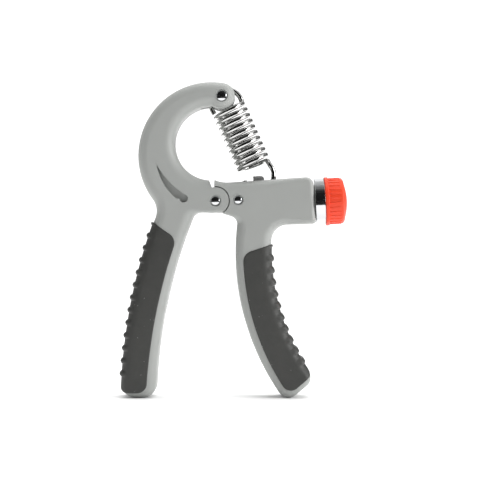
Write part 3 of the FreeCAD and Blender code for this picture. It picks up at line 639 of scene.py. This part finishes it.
def corner(start, end, centre, radius, grow_by, soft, near):
    """Rounds the corner between a line and a circle: round's centre, and where it meets each."""
    along = (end - start).normalized()
    inward = flat(-along.y, along.x) * soft
    if line_gap(start, end, near) < 0:
        inward = -inward
    hub = crossing(start + inward, end + inward, centre, radius + grow_by * soft, near)
    return hub, hub - inward, centre + (hub - centre).normalized() * radius


def arc_steps(hub, first, last, steps):
    """Points on the shorter arc between two points round a hub."""
    a, b = first - hub, last - hub
    swing = math.atan2(a.x * b.y - a.y * b.x, a.dot(b))
    return [hub + Matrix.Rotation(swing * k / steps, 2) @ a for k in range(steps + 1)]


def along_path(points, stations):
    """Points at given distances along a chain of straight steps."""
    reach, found, k, gone = 0.0, [], 0, 0.0
    for station in stations:
        while k < len(points) - 2 and gone + (points[k + 1] - points[k]).length < station:
            gone += (points[k + 1] - points[k]).length
            k += 1
        step = (points[k + 1] - points[k]).length
        found.append(points[k].lerp(points[k + 1], min(1.0, (station - gone) / step)))
    return found


# %% [markdown]
# A blade is two arcs and two straight lines: the arc of its outer face, the arc where the rubber ends
# on the flat side, and the lines that end the rubber at the top and the bottom.  Everything on the
# rubber's surface is found from those, by how far down the grip it lies and how deep under the outer
# face.

# %% One blade and the places on it
FLAT_HALF, RIM_ROUND = 6.6, 4.8          # half the flat of the outer face, and the rounding beside it
SIDE_FACE = FLAT_HALF + RIM_ROUND        # distance of the flat sides from the middle
# side is 1 where the blade lies inside its face's circle, and -1 where it lies outside.
Blade = namedtuple("Blade", "hub radius edge_hub edge_radius side top low near_top near_low middle")


def down_angle(blade, spot):
    return math.atan2(spot.y - blade.hub.y, blade.hub.x - spot.x)


def end_angle(blade, line, depth):
    """Where an end line crosses the outer face, or the curve that lies depth further in."""
    middle = line[0].lerp(line[1], 0.5)
    return down_angle(blade, crossing(*line, blade.hub, blade.radius - blade.side * depth, middle))


def spot_down(blade, share, depth):
    """The spot a share of the way down the grip and depth under the outer face."""
    first, last = end_angle(blade, blade.top, depth), end_angle(blade, blade.low, depth)
    angle, reach = first + (last - first) * share, blade.radius - blade.side * depth
    return flat(blade.hub.x - reach * math.cos(angle), blade.hub.y + reach * math.sin(angle))


# %% [markdown]
# On the flat side the rubber's outline has two rounded corners.  The rows of the grid follow that
# outline from the top to the bottom, closer together near both ends, where the edge rounds over.

# %% The rubber's outline on the flat side
TOP_CORNER, BOTTOM_CORNER = 5.2, 4.5
CORNER_STEPS, ARC_STEPS = 24, 120
ROW_STEP = 0.27
EDGE_SOFT = 0.4
EDGE_ROWS = [0.0, 0.1, 0.22, EDGE_SOFT]


def side_outline(blade):
    """The outline's points, and its two corners."""
    edge = blade.edge_hub, blade.edge_radius
    top = corner(*blade.top, *edge, blade.side, TOP_CORNER, blade.near_top)
    low = corner(*blade.low, *edge, blade.side, BOTTOM_CORNER, blade.near_low)
    points = (arc_steps(top[0], top[1], top[2], CORNER_STEPS)
              + arc_steps(blade.edge_hub, top[2], low[2], ARC_STEPS)[1:]
              + arc_steps(low[0], low[2], low[1], CORNER_STEPS)[1:])
    return points, (top, low)


def row_stations(length):
    """How far along the outline each row of the grid begins."""
    count = round((length - 2 * EDGE_SOFT) / ROW_STEP)
    body = [EDGE_SOFT + (length - 2 * EDGE_SOFT) * k / count for k in range(1, count)]
    return EDGE_ROWS + body + [length - gap for gap in reversed(EDGE_ROWS)]


# %% [markdown]
# Half a row runs from the outline over the flat side, round the rim and on to the middle of the outer
# face; the other half is its mirror image.  Each spot also says how far it leans towards the side and
# how far round it lies from the middle.

# %% Half a row of the grid
SIDE_PARTS = [0.2, 0.45, 0.72, 1.0]
RIM_STEPS, FACE_STEPS = 9, 8


def half_a_row(blade, rim, share):
    """Rows of (spot, y, lean, way round) from the outline to the middle of the outer face."""
    seam = spot_down(blade, share, RIM_ROUND)
    width = (seam - rim).length
    round_to_side = FLAT_HALF + RIM_ROUND * math.pi / 2
    row = [(rim.lerp(seam, part), SIDE_FACE, math.pi / 2, round_to_side + (1 - part) * width)
           for part in [gap / width for gap in EDGE_ROWS] + SIDE_PARTS]
    for k in range(1, RIM_STEPS + 1):
        lean = math.pi / 2 * (1 - k / RIM_STEPS)
        row.append((spot_down(blade, share, RIM_ROUND * (1 - math.cos(lean))),
                    FLAT_HALF + RIM_ROUND * math.sin(lean), lean, FLAT_HALF + RIM_ROUND * lean))
    middle = spot_down(blade, share, 0.0)
    for k in range(1, FACE_STEPS + 1):
        out = FLAT_HALF * (1 - k / FACE_STEPS)
        row.append((middle, out, 0.0, out))
    return row


# %% [markdown]
# The rubber's own edge is softened by letting the last few tenths of a millimetre sink in a quarter
# circle, and the low corner of the outer face sinks in a larger one.  Both need the distance from the
# outline.

# %% Distance from the outline
def inside_line(blade, line, spot):
    """How far a spot lies inside one of the end lines."""
    return max(0.0, line_gap(*line, spot) * math.copysign(1, line_gap(*line, blade.middle)))


def edge_gap(blade, corners, spot, on_side):
    """Distance from the rubber's outline, and from its low line."""
    to_low = inside_line(blade, blade.low, spot)
    gap = min(inside_line(blade, blade.top, spot), to_low)
    if on_side:
        gap = min(gap, abs((spot - blade.edge_hub).length - blade.edge_radius))
        for hub, a, b in corners:
            out, away = ((a + b) / 2 - hub).normalized(), spot - hub
            half_angle = (a - hub).normalized().dot(out)
            if away.length > 0.01 and away.normalized().dot(out) >= half_angle:
                gap = max(0.0, (a - hub).length - away.length)
    return gap, to_low


def quarter(gap, soft):
    """How far a soft edge has sunk at this distance from it."""
    return soft - math.sqrt(soft ** 2 - (soft - gap) ** 2) if gap < soft else 0.0


# %% [markdown]
# Now the sleeve.  A second layer, one thickness further in, closes it into a solid.  Each point also
# keeps how far along and how far round it lies, and which way is out: the ribs need all three.

# %% Lay out one sleeve
RUBBER_THICK, THINNER_ON_RIM = 2.45, 0.9
LOW_CORNER = 3.0


def layered_point(blade, corners, spot, y, lean, sign):
    """One point of the outer layer, the point under it, and the way out."""
    angle = down_angle(blade, spot)
    out = flat(-math.cos(angle), math.sin(angle)) * blade.side
    gap, to_low = edge_gap(blade, corners, spot, y >= SIDE_FACE - 0.001)
    depth = max(blade.side * (blade.radius - (spot - blade.hub).length), 0.0)
    sunk = (depth ** 3 + quarter(to_low, LOW_CORNER) ** 3) ** (1 / 3) - depth
    thick = RUBBER_THICK - THINNER_ON_RIM * math.sin(2 * lean) ** 2
    way_out = Vector((out.x * math.cos(lean), sign * math.sin(lean), out.y * math.cos(lean)))
    place = Vector((spot.x - out.x * sunk, sign * y, spot.y - out.y * sunk))
    outer = PIVOT + (place - way_out * quarter(gap, EDGE_SOFT)) * MM
    return outer, PIVOT + (place - way_out * thick) * MM, way_out


def sleeve_faces(rows, wide):
    """Two layers of a grid and the wall between their edges."""
    layer_size = rows * wide
    faces = []
    for layer in (0, layer_size):
        for k in (layer + i * wide + j for i in range(rows - 1) for j in range(wide - 1)):
            faces.append((k, k + 1, k + 1 + wide, k + wide))
    ring = ([j for j in range(wide)] + [i * wide + wide - 1 for i in range(1, rows)]
            + [(rows - 1) * wide + j for j in range(wide - 2, -1, -1)]
            + [i * wide for i in range(rows - 2, 0, -1)])
    return faces + [(a, b, b + layer_size, a + layer_size) for a, b in zip(ring, ring[1:] + ring[:1])]


def rubber_sleeve(name, blade):
    outline, corners = side_outline(blade)
    length = sum((b - a).length for a, b in zip(outline, outline[1:]))
    stations = row_stations(length)
    outer, inner, runs, sides, outs = [], [], [], [], []
    first_angle = end_angle(blade, blade.top, 0.0)
    for station, rim in zip(stations, along_path(outline, stations)):
        half_row = half_a_row(blade, rim, station / length)
        row = [(*spot, -1) for spot in half_row] + [(*spot, 1) for spot in reversed(half_row[:-1])]
        for spot, y, lean, way_round, sign in row:
            above, under, way_out = layered_point(blade, corners, spot, y, lean, sign)
            outer.append(above)
            inner.append(under)
            outs.append(way_out)
            runs.append((first_angle - down_angle(blade, spot)) * blade.radius)
            sides.append(sign * way_round)
    mesh = closed_mesh(name, outer + inner, sleeve_faces(len(stations), len(row)))
    store(mesh, "run", runs + runs)
    store(mesh, "side", sides + sides)
    store(mesh, "skin", [1.0] * len(outer) + [0.0] * len(inner))
    store(mesh, "outward", outs + outs)
    print(name, "rows:", len(stations), "points in a row:", len(row), "length in mm:",
          round(length, 1))
    return mesh


def closed_mesh(name, verts, faces):
    """A smooth mesh whose faces all point outwards."""
    mesh = bpy.data.meshes.new(name)
    mesh.from_pydata(verts, [], faces)
    work = bmesh.new()
    work.from_mesh(mesh)
    bmesh.ops.recalc_face_normals(work, faces=work.faces)
    work.to_mesh(mesh)
    work.free()
    mesh.polygons.foreach_set("use_smooth", [True] * len(mesh.polygons))
    return mesh


def store(mesh, name, values):
    """Keeps one number or one vector for each point."""
    many = isinstance(values[0], Vector)
    attribute = mesh.attributes.new(name, "FLOAT_VECTOR" if many else "FLOAT", "POINT")
    attribute.data.foreach_set("vector" if many else "value",
                               [number for v in values for number in v] if many else values)


# %% [markdown]
# The two blades differ in their arcs and in where their rubber ends.  The left rubber ends level at
# both ends.  The right one ends on a slope at the top and along the slanting tip at the bottom.

# %% The two sleeves
LEFT_FACE, LEFT_EDGE = (flat(215.6, -98.4), 260.6), (flat(230.5, -104.6), 263.4)
LEFT_TOP_Z, LEFT_LOW_Z = -10.1, -90.6
LEFT_TOP = (crossing(flat(0, LEFT_TOP_Z), flat(1, LEFT_TOP_Z), *LEFT_FACE, flat(-30, LEFT_TOP_Z)),
            flat(-19.0, -17.4))
LEFT_LOW = (flat(-44, LEFT_LOW_Z), flat(-33, LEFT_LOW_Z))
RIGHT_FACE, RIGHT_EDGE = (flat(125.0, -23.9), 98.3), (flat(128.9, -24.3), 115.8)
RIGHT_TOP = (flat(27.5, -20.3), flat(13.0, -25.0))
TIP_SLOPE, TIP_RIM = math.radians(40), 2.4
tip_along = flat(math.cos(TIP_SLOPE), math.sin(TIP_SLOPE))
tip_spot = flat(41.1 - TIP_RIM * math.sin(TIP_SLOPE), -89.21 + TIP_RIM * math.cos(TIP_SLOPE))
RIGHT_LOW = (tip_spot + tip_along * 9, tip_spot - tip_along * 5)

left_blade = Blade(*LEFT_FACE, *LEFT_EDGE, 1, LEFT_TOP, LEFT_LOW, flat(-21, -22), flat(-34, -86),
                   flat(-35, -55))
right_blade = Blade(*RIGHT_FACE, *RIGHT_EDGE, -1, RIGHT_TOP, RIGHT_LOW, flat(17, -29), flat(36, -84),
                    flat(25, -55))
left_sleeve = rubber_sleeve("arc_grip_base", left_blade)
right_sleeve = rubber_sleeve("housing_grip_base", right_blade)

# %% [markdown]
# The ribs follow a rule, so Geometry Nodes raise them.  The tree asks of each point how far it lies
# from the nearest rib, turns that into a soft bump and moves the point outwards.  The bump's two
# slopes can differ: on the housing's grip they are gentle above and steep below, which stops the
# fingers from sliding down.

# %% The rib tree
ribs_tree, given = new_tree(
    "ribs_across_a_grip", Count="Int", First="Float", Spacing="Float", Height="Float", Upper_Slope="Float",
    Lower_Slope="Float", Half_Length="Float", Fade="Float", Lip="Float", Fullness="Float")
LIP_FROM, LIP_TO = 0.5, 1.9
calc = partial(sum_up, ribs_tree)


def kept(tree, name, kind="FLOAT"):
    return made(tree, "GeometryNodeInputNamedAttribute", {"data_type": kind}, Name=name)


def falling(tree, value, start, end):
    """1 up to start, 0 from end on, and a soft slope between."""
    return made(tree, "ShaderNodeMapRange", {"interpolation_type": "SMOOTHSTEP"}, Value=value, in1=start,
                in2=end, in3=1.0, in4=0.0)


run = kept(ribs_tree, "run")
phase = calc("DIVIDE", calc("SUBTRACT", run, given["First"]), given["Spacing"])
last = calc("SUBTRACT", given["Count"], 1.0)
nearest = calc("MINIMUM", calc("MAXIMUM", calc("ROUND", phase), 0.0), last)
below = calc("MULTIPLY", calc("SUBTRACT", phase, nearest), given["Spacing"])
above = calc("MULTIPLY", below, -1.0)
far_up = calc("DIVIDE", above, given["Upper Slope"])
far = calc("MAXIMUM", far_up, calc("DIVIDE", below, given["Lower Slope"]))
dome = calc("MAXIMUM", calc("SUBTRACT", 1.0, calc("MULTIPLY", far, far)), 0.0)
bump = calc("POWER", dome, given["Fullness"])
lip = calc("MULTIPLY", falling(ribs_tree, run, LIP_FROM, LIP_TO), given["Lip"])
bump = calc("MAXIMUM", bump, lip)
soft_end = calc("SUBTRACT", given["Half Length"], given["Fade"])
across = falling(ribs_tree, calc("ABSOLUTE", kept(ribs_tree, "side")), soft_end, given["Half Length"])
height = calc("MULTIPLY", calc("MULTIPLY", bump, across),
              calc("MULTIPLY", given["Height"], kept(ribs_tree, "skin")))
offset = made(ribs_tree, "ShaderNodeVectorMath", {"operation": "SCALE"},
              in0=kept(ribs_tree, "outward", "FLOAT_VECTOR"), Scale=height)
raised = made(ribs_tree, "GeometryNodeSetPosition", Geometry=given["Geometry"], Offset=offset)
end_tree(ribs_tree, raised, given["Material"])
print("rib tree nodes:", len(ribs_tree.nodes))

# %% [markdown]
# The left grip has twelve narrow, even ribs.  The right one has ten broader ribs that lean downwards.
# Only the heights of the first and the last rib are given; the tree shares out the rest.

# %% The two grips


def rib_runs(blade, count, first_height, last_height):
    """How many ribs, where the first one lies along the grip, and the step to the next."""
    start = down_angle(blade, crossing(*blade.top, blade.hub, blade.radius, blade.top[0]))
    first, last = [(start - math.asin((z - blade.hub.y) / blade.radius)) * blade.radius
                   for z in (first_height, last_height)]
    return {"Count": count, "First": first, "Spacing": (last - first) / (count - 1)}


arc_grip = grow("arc_grip_rubber", left_sleeve, ribs_tree, **rib_runs(left_blade, 12, -16.2, -81.5),
                Height=0.95 * MM, Upper_Slope=1.45, Lower_Slope=1.35, Half_Length=11.6, Fade=2.6,
                Lip=0.8, Fullness=0.75, Material=rubber)
housing_grip = grow("housing_grip_rubber", right_sleeve, ribs_tree,
                    **rib_runs(right_blade, 10, -27.5, -75.8), Height=1.0 * MM, Upper_Slope=2.3,
                    Lower_Slope=1.2, Half_Length=12.2, Fade=3.0, Lip=0.45, Fullness=0.8, Material=rubber)
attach(arc_grip, "arc_lever")
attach(housing_grip, "housing")
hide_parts("arc_handle_grip")
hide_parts("housing_handle_grip")

# %% [markdown]
# The knob and the screw are round about one axis.  A profile of (distance along, radius) points, with
# its corners softened, is turned into a closed body.  What repeats on them is left to two trees: one
# sets a soft bar at every step round the knob, the other winds a thread round the screw.  Both are
# made lying along the x axis and then placed on the knob's own axis.

# %% A lathe
ROUND_STEPS = 120


def soft_profile(points, steps=4):
    """Rounds each corner of a ring of (along, radius, softness) points."""
    ring = []
    for k, (x, r, soft) in enumerate(points):
        here = Vector((x, r))
        if not soft:
            ring.append(here)
            continue
        back = (Vector(points[k - 1][:2]) - here).normalized()
        on = (Vector(points[(k + 1) % len(points)][:2]) - here).normalized()
        for step in range(steps + 1):
            u = step / steps
            ring.append(here + back * soft * (1 - u) ** 2 + on * soft * u ** 2)
    return ring


def lathe(name, points):
    """Turns a ring of (along, radius, softness) points about the x axis, in metres."""
    ring = soft_profile(points)
    wide, verts, faces = len(ring), [], []
    for step in range(ROUND_STEPS):
        a = 2 * math.pi * step / ROUND_STEPS
        verts += [Vector((p.x, p.y * math.cos(a), p.y * math.sin(a))) * MM for p in ring]
        for k in range(wide):
            on, turn = (k + 1) % wide, (step + 1) % ROUND_STEPS * wide
            faces.append((step * wide + k, step * wide + on, turn + on, turn + k))
    return closed_mesh(name, verts, faces)


# %% Helpers that place what repeats on the axis
AXIS_BELOW_PIVOT = 2.87
AXIS_START = PIVOT - Vector((0, 0, AXIS_BELOW_PIVOT)) * MM


def laid_along_x(tree, geometry, start):
    """Turns what stands along z to lie along x, and moves it start along."""
    shift = made(tree, "ShaderNodeCombineXYZ", X=start)
    return made(tree, "GeometryNodeTransform", Geometry=geometry, Translation=shift,
                Rotation=(0, math.pi / 2, 0))


def onto_axis(tree, *parts):
    """Joins what was made along the x axis and moves it onto the knob's axis."""
    both = put(tree, "GeometryNodeJoinGeometry")
    for part in parts:
        tree.links.new(part, both.inputs[0])
    tilt = -math.atan2(SCREW_DIRECTION.z, SCREW_DIRECTION.x)
    return made(tree, "GeometryNodeTransform", Geometry=both.outputs[0], Translation=AXIS_START,
                Rotation=(0, tilt, 0))


# %% [markdown]
# The knob is a cup with a flange at its open end and a hub inside.  Thirty bars stand round its
# barrel.  Each is a small ball pulled apart at its middle, so its ends are round, and it is sunk a
# little into the barrel, so it looks moulded on and not laid on.

# %% The tree for the knob's bars
bars_tree, given = new_tree("bars_round_a_barrel", Count="Int", Barrel_Radius="Float",
                            Bar_Radius="Float", From="Float", To="Float")
calc = partial(sum_up, bars_tree)
ball = made(bars_tree, "GeometryNodeMeshUVSphere", Segments=14, Rings=9, Radius=given["Bar Radius"])
where = made(bars_tree, "GeometryNodeInputPosition")
height = put(bars_tree, "ShaderNodeSeparateXYZ", in0=where).outputs[2]
half_bar = calc("MULTIPLY", calc("SUBTRACT", given["To"], given["From"]), 0.5)
stretch = calc("MULTIPLY", calc("SIGN", height), calc("SUBTRACT", half_bar, given["Bar Radius"]))
pulled = made(bars_tree, "ShaderNodeCombineXYZ", Z=stretch)
bar = made(bars_tree, "GeometryNodeSetPosition", Geometry=ball, Offset=pulled)
spots = made(bars_tree, "GeometryNodeMeshCircle", Vertices=given["Count"],
             Radius=given["Barrel Radius"])
bars = made(bars_tree, "GeometryNodeInstanceOnPoints", Points=spots, Instance=bar)
middle = calc("MULTIPLY", calc("ADD", given["To"], given["From"]), 0.5)
bars = laid_along_x(bars_tree, bars, middle)
end_tree(bars_tree, onto_axis(bars_tree, given["Geometry"], bars), given["Material"])
print("bar tree nodes:", len(bars_tree.nodes))

# %% The ribbed knob
BAR_COUNT, BAR_RADIUS, BAR_SUNK = 30, 0.48, 0.2
BAR_FROM, BAR_TO = 53.7, 59.6
FLANGE, BARREL, BORE = 11.5, 10.75, 2.46
knob_profile = [(52.05, BORE, 0), (52.05, FLANGE, 0.45), (53.85, FLANGE, 0.45), (53.85, BARREL, 0.15),
                (60.3, BARREL, 0.3), (61.2, 9.25, 0.3), (61.2, 8.56, 0.1), (54.05, 8.56, 0),
                (54.05, 5.0, 0.3), (57.0, 5.0, 0.3), (57.0, BORE, 0)]
ribbed_knob = grow("ribbed_knob", lathe("knob_body", knob_profile), bars_tree, Count=BAR_COUNT,
                   Barrel_Radius=(BARREL - BAR_SUNK) * MM, Bar_Radius=BAR_RADIUS * MM,
                   From=BAR_FROM * MM, To=BAR_TO * MM, Material=knob_plastic)
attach(ribbed_knob, "knob_and_screw")
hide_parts("knob")

# %% [markdown]
# The screw's thread is a ridge carried along a helix round a plain rod.  A real thread is one groove
# cut into the rod, and a Boolean could cut it, but a ridge that is sunk into the rod looks the same
# and keeps the mesh clean.

# %% The tree for the thread
thread_tree, given = new_tree("thread_round_a_rod", Pitch="Float", Turns="Float", Root="Float",
                              Depth="Float", From="Float")
thread_length = sum_up(thread_tree, "MULTIPLY", given["Pitch"], given["Turns"])
helix = made(thread_tree, "GeometryNodeCurveSpiral", Resolution=36, Rotations=given["Turns"],
             in2=given["Root"], in3=given["Root"], Height=thread_length)
helix = made(thread_tree, "GeometryNodeSetCurveNormal", {"mode": "Z_UP"}, Curve=helix)
ridge = made(thread_tree, "GeometryNodeCurvePrimitiveCircle", Resolution=8, Radius=given["Depth"])
thread = made(thread_tree, "GeometryNodeCurveToMesh", Curve=helix, in1=ridge, Fill_Caps=True)
thread = laid_along_x(thread_tree, thread, given["From"])
end_tree(thread_tree, onto_axis(thread_tree, given["Geometry"], thread), given["Material"])
print("thread tree nodes:", len(thread_tree.nodes))

# %% The threaded screw
THREAD_PITCH, THREAD_ROOT, THREAD_TOP = 2.0, 1.95, 2.45
THREAD_FROM, THREAD_TO = 15.9, 41.4
NECK, AXIS_CLEAR = 1.8, 0.05
screw_profile = [(13.6, AXIS_CLEAR, 0), (13.6, NECK, 0.15), (15.3, NECK, 0), (15.3, THREAD_ROOT, 0),
                 (42.0, THREAD_ROOT, 0), (42.0, NECK, 0), (42.7, NECK, 0), (42.7, THREAD_TOP, 0),
                 (57.6, THREAD_TOP, 0.1), (57.6, 1.5, 0), (51.5, 1.5, 0), (51.5, AXIS_CLEAR, 0)]
threaded_screw = grow("threaded_screw", lathe("screw_rod", screw_profile), thread_tree,
                      Pitch=THREAD_PITCH * MM, Turns=(THREAD_TO - THREAD_FROM) / THREAD_PITCH,
                      Root=THREAD_ROOT * MM, Depth=(THREAD_TOP - THREAD_ROOT) * MM,
                      From=THREAD_FROM * MM, Material=zinc)
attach(threaded_screw, "knob_and_screw")
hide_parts("adjuster_screw")
